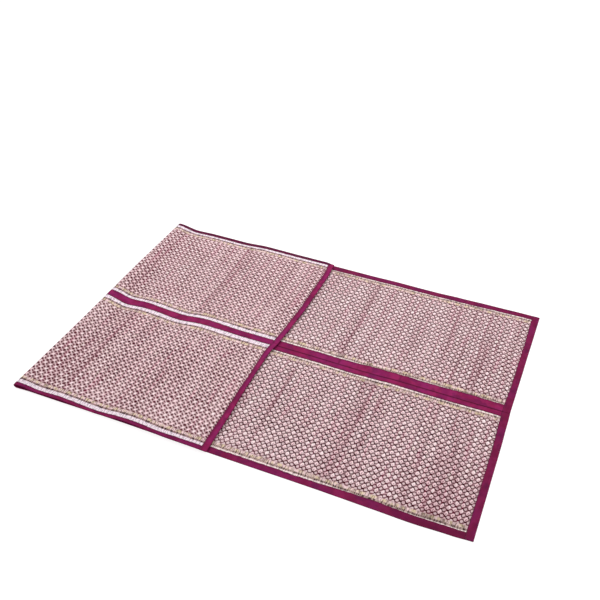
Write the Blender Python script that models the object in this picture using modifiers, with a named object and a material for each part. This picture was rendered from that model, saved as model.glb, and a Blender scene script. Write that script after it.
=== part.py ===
"""Woven grass mat: two long strips bound in cloth tape and joined side by side.

The mat lies on the ground with its left end folded over, so that the flap shows the back.
Every piece is first made flat, in the mat's own directions: along (from the right end to
the flap's end), across (from a strip's outer edge to the seam) and lift (from the middle of
the cloth towards its front). It is then sliced and bent into the folded mat.
"""
import math

import bmesh
import bpy
from mathutils import Vector

# Thicknesses, in metres
PANEL_THICKNESS = 0.0014
TAPE_THICKNESS = 0.0010
GAP = 0.0003
LAYER_GAP = 0.0006

# Strips and tapes, in metres
STRIP_WIDTH = 0.4555
HALF_WIDTH = 0.457
OUTER_TAPE_FRONT = 0.019
OUTER_TAPE_BACK = 0.011
INNER_TAPE_FRONT = 0.022
JOINING_TAPE_WIDTH = 0.023
END_TAPE_WIDTH = 0.021
FLAP_TAPE_WIDTH = 0.015

# Heights of the cloth's middle, from the ground up
HALF_STACK = PANEL_THICKNESS / 2 + GAP + TAPE_THICKNESS
LOWER_HEIGHT = HALF_STACK
FLAP_HEIGHT = LOWER_HEIGHT + 2 * HALF_STACK + LAYER_GAP

# The fold and the two layers
MAT_LENGTH = 1.250
TURN_START = 0.010
TURN_DEPTH = 0.008
TURN_LENGTH = 0.024
FLAP_REACH = 0.575
LOWER_LENGTH = MAT_LENGTH - TURN_START
FLAP_LENGTH = FLAP_REACH - TURN_START
TURN_END = LOWER_LENGTH + TURN_LENGTH
CLOTH_LENGTH = TURN_END + FLAP_LENGTH

# Edges and seam of the layer on the ground, seen from above
LOWER_LINES = {
    "columns": ("from fold", "far edge", "seam", "near edge"),
    "rows": (
        (0.00, 0.4425, -0.0085, -0.4595),
        (0.05, 0.4430, -0.0080, -0.4575),
        (0.34, 0.4465, -0.0055, -0.4545),
        (0.58, 0.4492, -0.0034, -0.4570),
        (0.85, 0.4513, -0.0025, -0.4555),
        (0.95, 0.4525, 0.0010, -0.4567),
        (1.10, 0.4583, 0.0030, -0.4589),
        (1.20, 0.4606, 0.0039, -0.4552),
        (1.25, 0.4618, 0.0042, -0.4526),
    ),
}

# Edges and seam of the flap, seen from above
FLAP_LINES = {
    "columns": ("from fold", "far edge", "seam", "near edge"),
    "rows": (
        (0.00, 0.4425, -0.0085, -0.4595),
        (0.08, 0.4415, -0.0100, -0.4610),
        (0.58, 0.4415, -0.0100, -0.4610),
    ),
}

# Crests and troughs of the flap, as heights above its lowest place
FLAP_WAVES = {
    "columns": ("from fold", "far edge", "seam", "near edge"),
    "rows": (
        (0.010, 0.0090, 0.0145, 0.0070),
        (0.080, 0.0000, 0.0008, 0.0027),
        (0.140, 0.0020, 0.0051, 0.0051),
        (0.250, 0.0022, 0.0000, 0.0000),
        (0.345, 0.0082, 0.0093, 0.0075),
        (0.470, 0.0078, 0.0050, 0.0034),
        (0.575, 0.0085, 0.0057, 0.0057),
    ),
}

# How far along the mat its three cross edges lie, from the near side to the far side
CROSS_EDGES = {
    "columns": ("across", "fold", "flap end", "right end"),
    "rows": (
        (-0.457, -0.0040, 0.5740, 1.2505),
        (-0.323, -0.0010, 0.5700, 1.2503),
        (-0.133, 0.0020, 0.5660, 1.2500),
        (0.017, 0.0020, 0.5730, 1.2473),
        (0.207, 0.0015, 0.5790, 1.2486),
        (0.457, 0.0015, 0.5810, 1.2505),
    ),
}

# Steps of the bending
LOWER_STEPS = 18
TURN_STEPS = 12
SHOULDER_STEPS = 7
SHOULDER_LENGTH = 0.070
FLAP_STEPS = 20
ACROSS_STEPS = 6

# The near strip is bent as a mirror image, so its faces are turned over afterwards
MIRRORED_STRIP = "_near"

# Colour and roughness of the two kinds of cloth
GRASS = ((0.60, 0.42, 0.40, 1.0), 0.65)
TAPE = ((0.26, 0.015, 0.09, 1.0), 0.75)
SHARP_ANGLE = math.radians(35)


def table_value(table, place, column):
    """Read one column of a table at a place, gliding between its rows."""
    rows = table["rows"]
    index = table["columns"].index(column)
    if place <= rows[0][0]:
        return rows[0][index]
    for low, high in zip(rows, rows[1:]):
        if place <= high[0]:
            share = (place - low[0]) / (high[0] - low[0])
            glide = share * share * (3 - 2 * share)
            return low[index] + (high[index] - low[index]) * glide
    return rows[-1][index]


def wave_height(from_fold, side_place):
    """Height of the flap's waves, on a parabola from far edge through seam to near edge."""
    share = min(max(0.5 - side_place / (2 * HALF_WIDTH), 0.0), 1.0)
    far = table_value(FLAP_WAVES, from_fold, "far edge")
    seam = table_value(FLAP_WAVES, from_fold, "seam")
    near = table_value(FLAP_WAVES, from_fold, "near edge")
    return (
        far * (1 - share) * (1 - 2 * share)
        + seam * 4 * share * (1 - share)
        + near * share * (2 * share - 1)
    )


def folded_path(along, side_place):
    """Place and front direction of the cloth's middle, in the upright plane along the mat."""
    fold = table_value(CROSS_EDGES, side_place, "fold")
    turn = fold + TURN_START
    if along <= LOWER_LENGTH:
        right_end = table_value(CROSS_EDGES, side_place, "right end")
        x = right_end + (turn - right_end) * along / LOWER_LENGTH
        return x, LOWER_HEIGHT, Vector((0.0, 1.0)), LOWER_LINES
    if along <= TURN_END:
        half_rise = (FLAP_HEIGHT - LOWER_HEIGHT + wave_height(TURN_START, side_place)) / 2
        angle = math.pi * (along - LOWER_LENGTH) / TURN_LENGTH
        x = turn - TURN_DEPTH * math.sin(angle)
        z = LOWER_HEIGHT + half_rise * (1 - math.cos(angle))
        front = Vector((half_rise * math.sin(angle), TURN_DEPTH * math.cos(angle))).normalized()
        lines = LOWER_LINES if angle < math.pi / 2 else FLAP_LINES
        return x, z, front, lines
    flap_end = table_value(CROSS_EDGES, side_place, "flap end")
    share = (along - TURN_END) / FLAP_LENGTH
    x = turn + (flap_end - turn) * share
    level = TURN_START + FLAP_LENGTH * share
    step = 0.001
    rise = wave_height(level + step, side_place) - wave_height(level - step, side_place)
    front = Vector((rise / (2 * step), -1.0)).normalized()
    return x, FLAP_HEIGHT + wave_height(level, side_place), front, FLAP_LINES


def strip_place(side):
    """Give the function that bends a point of the far (+1) or near (-1) strip."""
    outer_line = "far edge" if side > 0 else "near edge"

    def place(point):
        along, across, lift = point
        x, z, front, lines = folded_path(along, side * (HALF_WIDTH - across))
        outer = table_value(lines, x, outer_line)
        inner = table_value(lines, x, "seam") + side * GAP / 2
        y = outer + (inner - outer) * across / STRIP_WIDTH
        return Vector((x + front.x * lift, y, z + front.y * lift))

    return place


def seam_place(point):
    """Bend a point of the piece along the seam, across it from the far side to the near side."""
    along, across, lift = point
    x, z, front, lines = folded_path(along, -across)
    y = table_value(lines, x, "seam") - across
    return Vector((x + front.x * lift, y, z + front.y * lift))


def along_stations():
    """Places along the mat where every piece is sliced, so that they all bend alike."""
    stations = [LOWER_LENGTH * step / LOWER_STEPS for step in range(LOWER_STEPS)]
    stations += [LOWER_LENGTH + TURN_LENGTH * step / TURN_STEPS for step in range(TURN_STEPS)]
    stations += [TURN_END + SHOULDER_LENGTH * step / SHOULDER_STEPS for step in range(SHOULDER_STEPS)]
    rest = FLAP_LENGTH - SHOULDER_LENGTH
    start = TURN_END + SHOULDER_LENGTH
    stations += [start + rest * step / FLAP_STEPS for step in range(FLAP_STEPS)]
    return stations


def across_stations():
    """Places across a strip where its panel and its end tapes are sliced."""
    first = OUTER_TAPE_FRONT
    last = STRIP_WIDTH - INNER_TAPE_FRONT
    return [first + (last - first) * step / ACROSS_STEPS for step in range(ACROSS_STEPS + 1)]


def make_material(name, cloth):
    """Make a plain cloth material from its colour and roughness."""
    colour, roughness = cloth
    material = bpy.data.materials.new(name)
    material.use_nodes = True
    shader = material.node_tree.nodes["Principled BSDF"]
    shader.inputs["Base Color"].default_value = colour
    shader.inputs["Roughness"].default_value = roughness
    shader.inputs["Metallic"].default_value = 0.0
    return material


def flat_block(along, across, lift):
    """Make a flat box between the given pairs of places."""
    block = bmesh.new()
    bmesh.ops.create_cube(block, size=1.0)
    for vertex in block.verts:
        for axis, (low, high) in enumerate((along, across, lift)):
            vertex.co[axis] = low if vertex.co[axis] < 0 else high
    return block


def open_sides(block, directions):
    """Take away the box's faces that look in the given directions."""
    doomed = []
    for face in block.faces:
        if any(face.normal.dot(Vector(direction)) > 0.9 for direction in directions):
            doomed.append(face)
    bmesh.ops.delete(block, geom=doomed, context="FACES")


def slice_at(block, stations, axis):
    """Cut a closed flat piece at each station on one axis."""
    normal = Vector((0.0, 0.0, 0.0))
    normal[axis] = 1.0
    for station in stations:
        bmesh.ops.bisect_plane(
            block,
            geom=block.verts[:] + block.edges[:] + block.faces[:],
            dist=1e-7,
            plane_co=normal * station,
            plane_no=normal,
        )


def thickened(block):
    """Give an open tape shape its thickness, inward from its outer faces."""
    mesh = bpy.data.meshes.new("tape_shape")
    block.to_mesh(mesh)
    block.free()
    shape = bpy.data.objects.new("tape_shape", mesh)
    bpy.context.scene.collection.objects.link(shape)
    solidify = shape.modifiers.new("Thickness", "SOLIDIFY")
    solidify.thickness = TAPE_THICKNESS
    solidify.offset = -1.0
    solidify.use_even_offset = True
    graph = bpy.context.evaluated_depsgraph_get()
    solid = bmesh.new()
    solid.from_object(shape, graph)
    bpy.data.objects.remove(shape)
    bpy.data.meshes.remove(mesh)
    return solid


def finish_piece(name, block, place, across, cloth, collection):
    """Slice, bend and link one piece under its node's name."""
    slice_at(block, along_stations(), 0)
    slice_at(block, across, 1)
    for vertex in block.verts:
        vertex.co = place(vertex.co)
    if name.endswith(MIRRORED_STRIP):
        bmesh.ops.reverse_faces(block, faces=block.faces[:])
    mesh = bpy.data.meshes.new(name)
    block.to_mesh(mesh)
    block.free()
    mesh.shade_smooth()
    mesh.set_sharp_from_angle(angle=SHARP_ANGLE)
    mesh.materials.append(make_material(name, cloth))
    piece = bpy.data.objects.new(name, mesh)
    collection.objects.link(piece)
    return piece


def woven_panel(name, side, collection):
    """The woven grass sheet of one strip, inside its tapes."""
    inset = TAPE_THICKNESS + GAP
    block = flat_block(
        (inset, CLOTH_LENGTH - inset),
        (inset, STRIP_WIDTH - inset),
        (-PANEL_THICKNESS / 2, PANEL_THICKNESS / 2),
    )
    return finish_piece(name, block, strip_place(side), across_stations(), GRASS, collection)


def outer_tape(name, side, collection):
    """The tape folded around a strip's long outer edge, wider on the front than the back."""
    block = flat_block(
        (END_TAPE_WIDTH + GAP, CLOTH_LENGTH - FLAP_TAPE_WIDTH - GAP),
        (0.0, OUTER_TAPE_FRONT),
        (-HALF_STACK, HALF_STACK),
    )
    open_sides(block, ((1, 0, 0), (-1, 0, 0), (0, 1, 0)))
    for vertex in block.verts:
        if vertex.co.z < 0 and vertex.co.y > 0:
            vertex.co.y = OUTER_TAPE_BACK
    return finish_piece(name, thickened(block), strip_place(side), [], TAPE, collection)


def inner_tape(name, side, collection):
    """The tape on the front along the seam, turned down over the strip's inner edge."""
    block = flat_block(
        (END_TAPE_WIDTH + GAP, CLOTH_LENGTH - FLAP_TAPE_WIDTH - GAP),
        (STRIP_WIDTH - INNER_TAPE_FRONT, STRIP_WIDTH),
        (-PANEL_THICKNESS / 2, HALF_STACK),
    )
    open_sides(block, ((1, 0, 0), (-1, 0, 0), (0, -1, 0), (0, 0, -1)))
    return finish_piece(name, thickened(block), strip_place(side), [], TAPE, collection)


def right_end_tape(name, side, collection):
    """The tape folded around a strip's right end, closed at its two short ends."""
    block = flat_block((0.0, END_TAPE_WIDTH), (0.0, STRIP_WIDTH), (-HALF_STACK, HALF_STACK))
    open_sides(block, ((1, 0, 0),))
    solid = thickened(block)
    return finish_piece(name, solid, strip_place(side), across_stations(), TAPE, collection)


def flap_end_tape(name, side, collection):
    """The tape folded around the strip's end on the flap, closed at its two short ends."""
    block = flat_block(
        (CLOTH_LENGTH - FLAP_TAPE_WIDTH, CLOTH_LENGTH),
        (0.0, STRIP_WIDTH),
        (-HALF_STACK, HALF_STACK),
    )
    open_sides(block, ((-1, 0, 0),))
    solid = thickened(block)
    return finish_piece(name, solid, strip_place(side), across_stations(), TAPE, collection)


def joining_tape(name, collection):
    """The single tape sewn over the seam on the back, which joins the two strips."""
    block = flat_block(
        (END_TAPE_WIDTH + GAP, CLOTH_LENGTH - FLAP_TAPE_WIDTH - GAP),
        (-JOINING_TAPE_WIDTH / 2, JOINING_TAPE_WIDTH / 2),
        (-HALF_STACK, -HALF_STACK + TAPE_THICKNESS),
    )
    return finish_piece(name, block, seam_place, [], TAPE, collection)


def stand_on_origin(pieces):
    """Move all pieces together so that the mat's box stands centred on the origin."""
    points = [vertex.co for piece in pieces for vertex in piece.data.vertices]
    lowest = Vector([min(point[axis] for point in points) for axis in range(3)])
    highest = Vector([max(point[axis] for point in points) for axis in range(3)])
    middle = (lowest + highest) / 2
    shift = Vector((-middle.x, -middle.y, -lowest.z))
    for piece in pieces:
        for vertex in piece.data.vertices:
            vertex.co += shift


def main():
    """Clear the scene and build the mat."""
    for item in list(bpy.data.objects):
        bpy.data.objects.remove(item)
    collection = bpy.data.collections.new("woven_grass_mat")
    bpy.context.scene.collection.children.link(collection)
    pieces = [joining_tape("joining_tape", collection)]
    for strip, side in (("far", 1), ("near", -1)):
        pieces.append(woven_panel("woven_panel_" + strip, side, collection))
        pieces.append(outer_tape("outer_tape_" + strip, side, collection))
        pieces.append(inner_tape("inner_tape_" + strip, side, collection))
        pieces.append(right_end_tape("right_end_tape_" + strip, side, collection))
        pieces.append(flap_end_tape("flap_end_tape_" + strip, side, collection))
    stand_on_origin(pieces)


main()
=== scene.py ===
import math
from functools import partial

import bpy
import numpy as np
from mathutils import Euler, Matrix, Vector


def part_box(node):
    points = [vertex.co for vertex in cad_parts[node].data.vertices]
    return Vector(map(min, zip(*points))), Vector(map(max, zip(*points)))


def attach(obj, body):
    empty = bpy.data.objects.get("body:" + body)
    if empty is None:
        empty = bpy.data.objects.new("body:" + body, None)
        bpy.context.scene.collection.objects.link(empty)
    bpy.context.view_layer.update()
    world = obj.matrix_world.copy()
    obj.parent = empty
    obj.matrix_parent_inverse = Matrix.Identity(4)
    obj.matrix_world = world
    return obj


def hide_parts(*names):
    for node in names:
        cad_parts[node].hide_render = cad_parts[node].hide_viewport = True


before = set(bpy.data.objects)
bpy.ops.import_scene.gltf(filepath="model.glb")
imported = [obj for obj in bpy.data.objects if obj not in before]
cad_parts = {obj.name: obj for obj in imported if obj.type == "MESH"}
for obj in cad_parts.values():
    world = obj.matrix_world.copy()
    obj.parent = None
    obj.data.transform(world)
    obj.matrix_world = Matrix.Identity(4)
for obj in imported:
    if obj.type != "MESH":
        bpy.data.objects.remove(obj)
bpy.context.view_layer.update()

# Looks of the woven grass mat. Two woven strips, bound in cloth tape, lie side by side and
# are folded over together at the left. Every piece is laid out flat, by along (from the
# right end to the flap's end), across (from a strip's outer edge to the seam) and lift (from
# the middle of the cloth towards its front), and is then bent on the folds of the solids.

# Thicknesses, in metres
PANEL_THICKNESS = 0.0018
TAPE_THICKNESS = 0.0005
LAYER_GAP = 0.0018
HALF_PANEL = PANEL_THICKNESS / 2
HALF_STACK = HALF_PANEL + TAPE_THICKNESS

# Strips, seam and the two layers, as in the solids
STRIP_WIDTH = 0.4555
HALF_WIDTH = 0.457
SEAM_GAP = 0.0003
LOWER_HEIGHT = HALF_STACK + 0.0002
FLAP_HEIGHT = LOWER_HEIGHT + 2 * HALF_STACK + LAYER_GAP
MAT_LENGTH = 1.250
TURN_START = 0.010
TURN_DEPTH = 0.008
TURN_LENGTH = 0.024
FLAP_REACH = 0.575
LOWER_LENGTH = MAT_LENGTH - TURN_START
FLAP_LENGTH = FLAP_REACH - TURN_START
TURN_END = LOWER_LENGTH + TURN_LENGTH
CLOTH_LENGTH = TURN_END + FLAP_LENGTH
SOLID_RIGHT_END = 1.2505
SOLID_FAR_EDGE = 0.4618

# Edges and seam of the layer on the ground, seen from above
LOWER_LINES = {
    "columns": ("from fold", "far edge", "seam", "near edge"),
    "rows": (
        (0.00, 0.4425, -0.0085, -0.4626),
        (0.05, 0.4430, -0.0080, -0.4604),
        (0.34, 0.4475, -0.0070, -0.4575),
        (0.58, 0.4522, -0.0062, -0.4596),
        (0.70, 0.4525, -0.0062, -0.4592),
        (0.80, 0.4548, -0.0071, -0.4587),
        (0.87, 0.4543, -0.0062, -0.4586),
        (0.92, 0.4547, -0.0037, -0.4592),
        (1.00, 0.4581, -0.0030, -0.4602),
        (1.10, 0.4613, -0.0029, -0.4618),
        (1.20, 0.4636, -0.0017, -0.4584),
        (1.25, 0.4641, -0.0012, -0.4550),
    ),
}

# Edges and seam of the flap, seen from above
FLAP_LINES = {
    "columns": ("from fold", "far edge", "seam", "near edge"),
    "rows": (
        (0.00, 0.4448, -0.0085, -0.4632),
        (0.08, 0.4443, -0.0098, -0.4631),
        (0.18, 0.4450, -0.0096, -0.4629),
        (0.28, 0.4445, -0.0112, -0.4624),
        (0.36, 0.4442, -0.0110, -0.4630),
        (0.45, 0.4440, -0.0098, -0.4657),
        (0.58, 0.4472, -0.0071, -0.4668),
    ),
}

# Crests and troughs of the flap, as heights above its lowest place
FLAP_WAVES = {
    "columns": ("from fold", "far edge", "seam", "near edge"),
    "rows": (
        (0.010, 0.0090, 0.0145, 0.0070),
        (0.080, 0.0000, 0.0008, 0.0027),
        (0.140, 0.0020, 0.0051, 0.0051),
        (0.250, 0.0022, 0.0000, 0.0000),
        (0.345, 0.0082, 0.0093, 0.0075),
        (0.470, 0.0078, 0.0050, 0.0034),
        (0.545, 0.0066, 0.0039, 0.0038),
        (0.575, 0.0029, 0.0032, 0.0032),
    ),
}

# How far along the mat its three cross edges lie, from the near side to the far side
CROSS_EDGES = {
    "columns": ("across", "fold", "flap end", "right end"),
    "rows": (
        (-0.457, -0.0055, 0.5749, 1.2507),
        (-0.340, -0.0024, 0.5724, 1.2506),
        (-0.190, 0.0003, 0.5661, 1.2503),
        (-0.133, 0.0008, 0.5649, 1.2502),
        (-0.045, 0.0008, 0.5644, 1.2490),
        (0.017, 0.0005, 0.5714, 1.2478),
        (0.085, -0.0003, 0.5764, 1.2485),
        (0.207, -0.0012, 0.5814, 1.2494),
        (0.380, -0.0012, 0.5824, 1.2508),
        (0.457, -0.0012, 0.5781, 1.2513),
    ),
}

# Widths of the tapes where they show on the front, by their place from the fold
FRONT_TAPES = {
    "columns": ("from fold", "far outer", "far inner", "near inner", "near outer"),
    "rows": (
        (0.00, 0.0200, 0.0240, 0.0210, 0.0195),
        (0.60, 0.0238, 0.0249, 0.0202, 0.0199),
        (0.70, 0.0222, 0.0254, 0.0193, 0.0201),
        (0.75, 0.0221, 0.0252, 0.0199, 0.0204),
        (0.80, 0.0219, 0.0272, 0.0204, 0.0191),
        (0.86, 0.0222, 0.0303, 0.0187, 0.0199),
        (0.92, 0.0217, 0.0294, 0.0183, 0.0230),
        (0.95, 0.0218, 0.0290, 0.0194, 0.0241),
        (1.00, 0.0232, 0.0274, 0.0204, 0.0257),
        (1.05, 0.0238, 0.0280, 0.0208, 0.0243),
        (1.12, 0.0219, 0.0305, 0.0198, 0.0230),
        (1.20, 0.0209, 0.0288, 0.0194, 0.0219),
        (1.25, 0.0220, 0.0290, 0.0200, 0.0205),
    ),
}

# Widths of the tapes on the back, by their place from the fold
BACK_TAPES = {
    "columns": ("from fold", "far outer", "seam", "near outer"),
    "rows": (
        (0.00, 0.0130, 0.0290, 0.0110),
        (0.08, 0.0154, 0.0310, 0.0105),
        (0.13, 0.0162, 0.0292, 0.0111),
        (0.18, 0.0160, 0.0250, 0.0111),
        (0.25, 0.0160, 0.0280, 0.0106),
        (0.33, 0.0158, 0.0278, 0.0108),
        (0.43, 0.0146, 0.0242, 0.0114),
        (0.48, 0.0147, 0.0245, 0.0134),
        (0.58, 0.0140, 0.0248, 0.0143),
    ),
}

# Width of the tape at the flap's end, from the near side to the far side
FLAP_END_TAPES = {
    "columns": ("across", "width"),
    "rows": (
        (-0.457, 0.0185),
        (-0.330, 0.0180),
        (-0.240, 0.0160),
        (-0.150, 0.0148),
        (-0.060, 0.0162),
        (0.010, 0.0165),
        (0.100, 0.0165),
        (0.400, 0.0168),
        (0.457, 0.0185),
    ),
}

# Width of the tape at the right end, from the near side to the far side
RIGHT_END_TAPES = {
    "columns": ("across", "width"),
    "rows": (
        (-0.457, 0.0212),
        (-0.250, 0.0205),
        (-0.120, 0.0212),
        (-0.040, 0.0225),
        (0.030, 0.0218),
        (0.120, 0.0198),
        (0.300, 0.0198),
        (0.457, 0.0222),
    ),
}

# Painted shade on the tapes around the outline, on the front and the back, from 0 to 1, where
# they lie away from the light
TAPE_PAINTED_SHADE = {
    "far outer": (0.42, 0.85),
    "near outer": (0.24, 0.25),
    "right end": (0.38, 0.15),
    "flap end": (0.0, 0.0),
}

# Painted shade on one tape that deepens towards the right end, where the light falls off: where,
# and how much in the end
FALLOFF_SHADE_TAPE = "near outer"
FALLOFF_SHADE_FROM = 0.92
FALLOFF_SHADE_UNTIL = 1.14
FALLOFF_SHADE_SHARE = 0.90

# Cross creases of the long tapes
TAPE_CREASES = {
    "columns": ("from fold", "half width", "depth"),
    "rows": {
        "far inner": (
            (0.757, 0.0016, 0.00035), (0.812, 0.0022, 0.00015), (0.857, 0.0026, 0.00015),
            (0.937, 0.0020, 0.00025), (1.101, 0.0018, 0.00020),
        ),
        "near inner": ((0.776, 0.0018, 0.00015), (0.990, 0.0020, 0.00020), (1.118, 0.0024, 0.00015)),
        "near outer": ((0.655, 0.0024, 0.00020), (0.905, 0.0026, 0.00020)),
        "far outer": ((0.690, 0.0022, 0.00020), (1.020, 0.0026, 0.00020)),
    },
}

# The weave's repeat, in metres, its relief and stems, and the scale on which it wanders
REPEAT_LENGTH = 0.0158
PANEL_INSET = 0.0012
REPEATS_ACROSS = 24
REPEAT_WIDTH = (STRIP_WIDTH - 2 * PANEL_INSET) / REPEATS_ACROSS
RELIEF_HEIGHT = 0.00035
STEMS_PER_REPEAT = 10.0
WANDER_SCALE = 120.0

# How many vertices a repeat takes each way, and how many columns a hidden row has
ROWS_PER_REPEAT = 7
COLUMNS_PER_REPEAT = 6
TURN_ROWS_PER_REPEAT = 14
COARSE_COLUMNS = 12

# So that the near strip's repeats draw other random numbers than the far strip's
NEAR_STRIP_REPEATS = 400.0

# How far the cloth lies slack, which fades out at the strip's ends and sides
SLACK_ALONG = 0.0022
SLACK_ACROSS = 0.0013
END_FADE = 0.03
SIDE_FADE = 0.05

# The four places in a repeat that its shapes belong to, as shares of it
REPEAT_PLACES = ((0.0, 0.0), (0.5, 0.5), (0.5, 0.0), (0.0, 0.5))

# Mounds of the relief: share of the repeat where they stand, height as a share, and middle
# and radii in millimetres. They fade out between two distances inside the borders.
MOUNDS = {
    "columns": ("place", "height", "middle", "radii"),
    "rows": (
        (0.0, 1.0, (0.0, 0.4), (5.2, 8.4)),
        (0.5, 0.7, (0.0, 0.0), (4.2, 5.2)),
    ),
}
RELIEF_FADE = (0.012, 0.018)

# Ovals of the repeat, in millimetres from their place in it, with their turn in degrees
OVALS = {
    "columns": ("along", "across", "radius along", "radius across", "turn", "soft edge"),
    "rows": {
        "link": (0.0, 0.0, 4.2, 1.3, 0.0, 0.35),
        "slit": (0.4, 1.4, 1.1, 3.3, 16.0, 0.40),
        "dot": (0.1, 0.3, 0.8, 2.4, 18.0, 0.40),
        "knot": (0.2, 0.0, 5.8, 3.0, 24.0, 0.28),
        "big dot": (0.0, 0.0, 3.9, 3.2, 40.0, 0.26),
        "upper dot": (0.6, -4.0, 3.8, 2.2, 42.0, 0.32),
        "lower dot": (-1.4, 3.5, 4.2, 2.2, 38.0, 0.32),
        "star": (0.2, 0.0, 4.7, 3.2, -45.0, 0.35),
        "band": (-0.2, -0.2, 9.0, 1.0, 48.0, 0.50),
    },
}

# The dark lines around a small grain, in millimetres: rise of their arches, how far they
# reach to each side, and where their edges start and end
ARCH_HEIGHT = 3.0
ARCH_REACH = 6.0
ARCH_EDGES = (3.3, 2.3)

# Random blotches in the flat cloth: scale along and across, scale and detail of the noise,
# and the numbers between which they set in
BLOTCHES = {
    "columns": ("along", "across", "scale", "detail", "from", "until"),
    "rows": {
        "tint": (1.0, 0.12, 130.0, 3.0, 0.38, 0.66),
        "rosy": (1.0, 0.06, 110.0, 3.0, 0.54, 0.72),
        "green": (1.0, 0.12, 170.0, 2.0, 0.64, 0.76),
        "ticks": (1.0, 0.22, 290.0, 3.0, 0.44, 0.62),
        "gold": (1.0, 0.40, 70.0, 2.0, 0.44, 0.62),
        "dye": (1.0, 1.0, 32.0, 3.0, 0.35, 0.68),
        "cool dye": (1.0, 1.0, 14.0, 2.0, 0.42, 0.64),
        "worn dye": (1.0, 1.0, 75.0, 3.0, 0.50, 0.72),
        "dark dye": (0.45, 1.0, 60.0, 2.0, 0.54, 0.70),
    },
}

# Colours that differ between the two faces, as red, green and blue from 0 to 255. Each part
# is mixed from two of them.
FACE_COLOURS = {
    "front": {
        "ground": ((186, 141, 147), (205, 164, 168)),
        "warp": ((54, 5, 17), (72, 12, 28)),
        "white": ((254, 234, 232), (160, 136, 138)),
        "dark line": ((186, 158, 150), (66, 50, 44)),
    },
    "back": {
        "ground": ((188, 150, 155), (204, 169, 172)),
        "warp": ((64, 9, 22), (80, 17, 33)),
        "white": ((250, 232, 242), (164, 148, 158)),
        "dark line": ((168, 134, 134), (52, 28, 32)),
    },
}

# Where along the cloth each layer shows
FRONT_SHOWN_UNTIL = 0.705
TURN_SHOWN_FROM = 1.222
FLAP_SHOWN_FROM = 1.285

# Borders of the weave, from each edge of the strip inwards: the white selvage, the dark
# line and the straw band
DARK_LINE_WIDTH = 0.0064
STRAW_BAND_WIDTH = 0.0084
BORDER_WANDER = 0.0015
BORDER_WANDER_SCALE = 60.0
BORDER_SOFTNESS = 0.0006
SELVAGES = {
    "columns": ("outer width", "inner width"),
    "rows": {
        ("far", "front"): (0.0257, 0.0301),
        ("near", "front"): (0.0251, 0.0246),
        ("far", "back"): (0.0243, 0.0247),
        ("near", "back"): (0.0232, 0.0268),
    },
}

# Streaks of darker (above 0) and paler (below 0) stems that run across a strip
STREAKS = {
    "columns": ("from fold", "half width", "strength"),
    "rows": {
        ("far", "back"): (
            (0.048, 0.014, 0.30), (0.174, 0.006, 0.30), (0.293, 0.007, 0.48), (0.309, 0.006, 0.24),
            (0.466, 0.009, 0.24), (0.541, 0.006, 0.22), (0.126, 0.006, -0.24), (0.151, 0.006, -0.36),
            (0.211, 0.008, -0.22), (0.268, 0.009, -0.44), (0.390, 0.008, -0.22), (0.497, 0.010, -0.34),
        ),
        ("near", "back"): (
            (0.074, 0.006, 0.62), (0.107, 0.005, 0.25), (0.125, 0.006, 0.78), (0.198, 0.006, 0.28),
            (0.334, 0.010, 0.36), (0.382, 0.006, 0.20), (0.097, 0.005, -0.26), (0.142, 0.005, -0.28),
            (0.163, 0.009, -0.40), (0.258, 0.013, -0.36), (0.425, 0.016, -0.30), (0.529, 0.016, -0.40),
        ),
        ("far", "front"): (
            (0.615, 0.006, 0.32), (0.748, 0.008, 0.68), (0.808, 0.006, 0.26), (0.919, 0.007, 0.34),
            (1.020, 0.010, 0.36), (1.069, 0.006, 0.52), (1.116, 0.006, 0.38), (1.133, 0.006, 0.40),
            (1.204, 0.006, 0.28), (0.704, 0.006, -0.24), (0.780, 0.010, -0.30), (0.838, 0.010, -0.26),
            (0.968, 0.009, -0.36), (1.184, 0.010, -0.34),
        ),
        ("near", "front"): (
            (0.655, 0.007, 0.74), (0.763, 0.006, 0.24), (0.854, 0.006, 0.36), (0.877, 0.012, 0.48),
            (0.915, 0.007, 0.38), (1.069, 0.006, 0.38), (1.122, 0.005, 0.28), (1.139, 0.006, 0.46),
            (1.168, 0.006, 0.32), (0.601, 0.008, -0.44), (0.694, 0.006, -0.32), (0.785, 0.009, -0.44),
            (0.956, 0.008, -0.36), (1.018, 0.008, -0.40), (1.084, 0.008, -0.34), (1.184, 0.010, -0.36),
        ),
    },
}

# Broad patches of darker (above 0) and paler (below 0) cloth, placed by their middles. The dark
# patches towards the right end are painted shade where the light falls off, and the pale patches
# close to the near edge are painted light; the others are the cloth's own uneven tone.
PATCHES = {
    "columns": ("from fold", "across", "half length", "half width", "strength"),
    "rows": {
        ("near", "front"): (
            (1.17, 0.07, 0.10, 0.20, 0.38), (0.65, 0.05, 0.09, 0.07, -0.45),
            (0.66, 0.40, 0.08, 0.04, -0.30),
        ),
        ("far", "front"): (
            (0.63, 0.38, 0.05, 0.06, -0.55), (0.87, 0.38, 0.04, 0.06, -0.42),
            (1.00, 0.40, 0.05, 0.03, -0.30), (1.15, 0.27, 0.06, 0.16, 0.16),
        ),
        ("near", "back"): (
            (0.42, 0.07, 0.07, 0.07, -0.50), (0.22, 0.06, 0.03, 0.06, -0.50),
            (0.12, 0.04, 0.04, 0.04, -0.40), (0.34, 0.37, 0.03, 0.06, -0.40),
            (0.03, 0.36, 0.04, 0.08, -0.35), (0.10, 0.35, 0.02, 0.05, 0.20),
        ),
        ("far", "back"): (
            (0.20, 0.40, 0.05, 0.03, -0.55), (0.46, 0.36, 0.06, 0.06, -0.38),
            (0.17, 0.07, 0.03, 0.04, -0.35),
        ),
    },
}

# Waves that make up random swells
SWELL_WAVES = 14

# Sections of the long tapes, which run between the end tapes
LONG_TAPE_START = 0.0180
LONG_TAPE_END = CLOTH_LENGTH - 0.0135
LOWER_SECTIONS = 300
TURN_SECTIONS = 25
FLAP_SECTIONS = 170

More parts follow.
